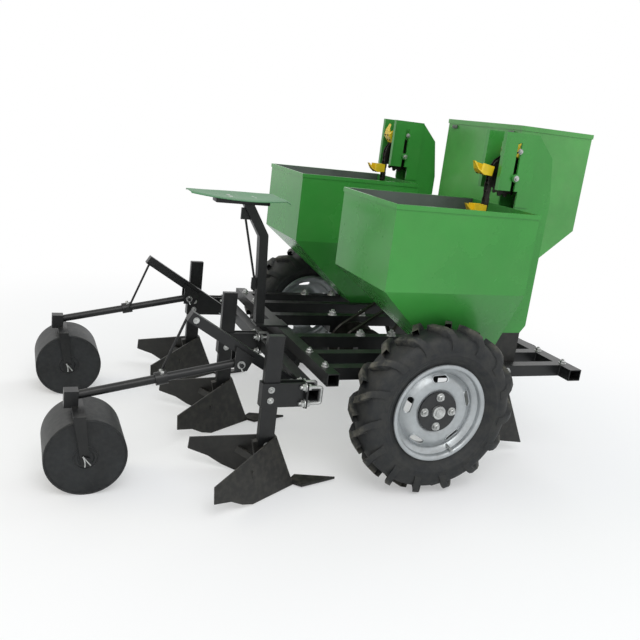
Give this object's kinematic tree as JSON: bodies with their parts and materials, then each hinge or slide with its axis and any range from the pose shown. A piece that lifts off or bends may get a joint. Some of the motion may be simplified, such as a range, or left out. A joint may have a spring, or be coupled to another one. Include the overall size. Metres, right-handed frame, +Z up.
{
  "type": "two-row potato planter",
  "caption": "Tractor-mounted two-row potato planter with two seed hoppers, cup elevators, one fertiliser box over the front beam, ridging bodies, press rollers, an operator seat and lugged wheels.",
  "frame": {"origin": "on the ground, at the middle of the machine's length and width", "axes": "+X forward in the direction of travel, +Y to the machine's left along the axle, +Z up"},
  "size_m": [1.859, 1.365, 1.176],
  "materials": {
    "frame_black": "semi-gloss",
    "tool_black": "satin",
    "hopper_green": "gloss",
    "seat_green": "gloss",
    "chain_steel": "oiled",
    "tyre": "matte",
    "rim_silver": "satin",
    "roller_grey": "satin",
    "cup_yellow": "satin"
  },
  "bodies": {
    "frame": {"axle_blocks": "frame_black", "cup_chain_left": "chain_steel", "cup_chain_right": "chain_steel", "cups_left": "cup_yellow", "cups_right": "cup_yellow", "drive_chain": "chain_steel", "drive_sprockets": "chain_steel", "elevator_case_left": "hopper_green", "elevator_case_right": "hopper_green", "fertiliser_box": "hopper_green", "front_beam": "frame_black", "furrow_opener_left": "tool_black", "furrow_opener_right": "tool_black", "hitch_lugs": "frame_black", "hitch_mast": "frame_black", "inner_rails": "frame_black", "lay_shaft": "chain_steel", "lift_link_left": "frame_black", "lift_link_right": "frame_black", "rear_beam": "frame_black", "ridger_centre": "tool_black", "ridger_left": "tool_black", "ridger_right": "tool_black", "row_rails_left": "frame_black", "row_rails_right": "frame_black", "seat_pan": "seat_green", "seat_post": "frame_black", "seed_hopper_left": "hopper_green", "seed_hopper_right": "hopper_green", "shank_centre": "frame_black", "shank_left": "frame_black", "shank_right": "frame_black", "tool_bar": "frame_black"},
    "wheel_left": {"tyre_left": "tyre", "rim_left": "rim_silver", "hub_left": "tool_black"},
    "arm_left": {"roller_arm_left": "frame_black", "lift_tie_left": "frame_black"},
    "press_roller_left": {"roller_left": "roller_grey"},
    "wheel_right": {"tyre_right": "tyre", "rim_right": "rim_silver", "hub_right": "tool_black"},
    "arm_right": {"roller_arm_right": "frame_black", "lift_tie_right": "frame_black"},
    "press_roller_right": {"roller_right": "roller_grey"}
  },
  "joints": [
    {"name": "wheel_left_spin", "type": "hinge", "parent": "frame", "child": "wheel_left", "pos_m": [0.2245, 0.585, 0.279], "axis": [0, 1, 0], "continuous": true},
    {"name": "arm_left_swing", "type": "hinge", "parent": "frame", "child": "arm_left", "pos_m": [-0.3635, 0.386, 0.366], "axis": [0, 1, 0], "range_deg": [-8, 18]},
    {"name": "press_roller_left_spin", "type": "hinge", "parent": "arm_left", "child": "press_roller_left", "pos_m": [-0.8135, 0.386, 0.116], "axis": [0, 1, 0], "continuous": true},
    {"name": "wheel_right_spin", "type": "hinge", "parent": "frame", "child": "wheel_right", "pos_m": [0.2245, -0.585, 0.279], "axis": [0, 1, 0], "continuous": true},
    {"name": "arm_right_swing", "type": "hinge", "parent": "frame", "child": "arm_right", "pos_m": [-0.3635, -0.386, 0.366], "axis": [0, 1, 0], "range_deg": [-8, 18]},
    {"name": "press_roller_right_spin", "type": "hinge", "parent": "arm_right", "child": "press_roller_right", "pos_m": [-0.8135, -0.386, 0.116], "axis": [0, 1, 0], "continuous": true}
  ]
}
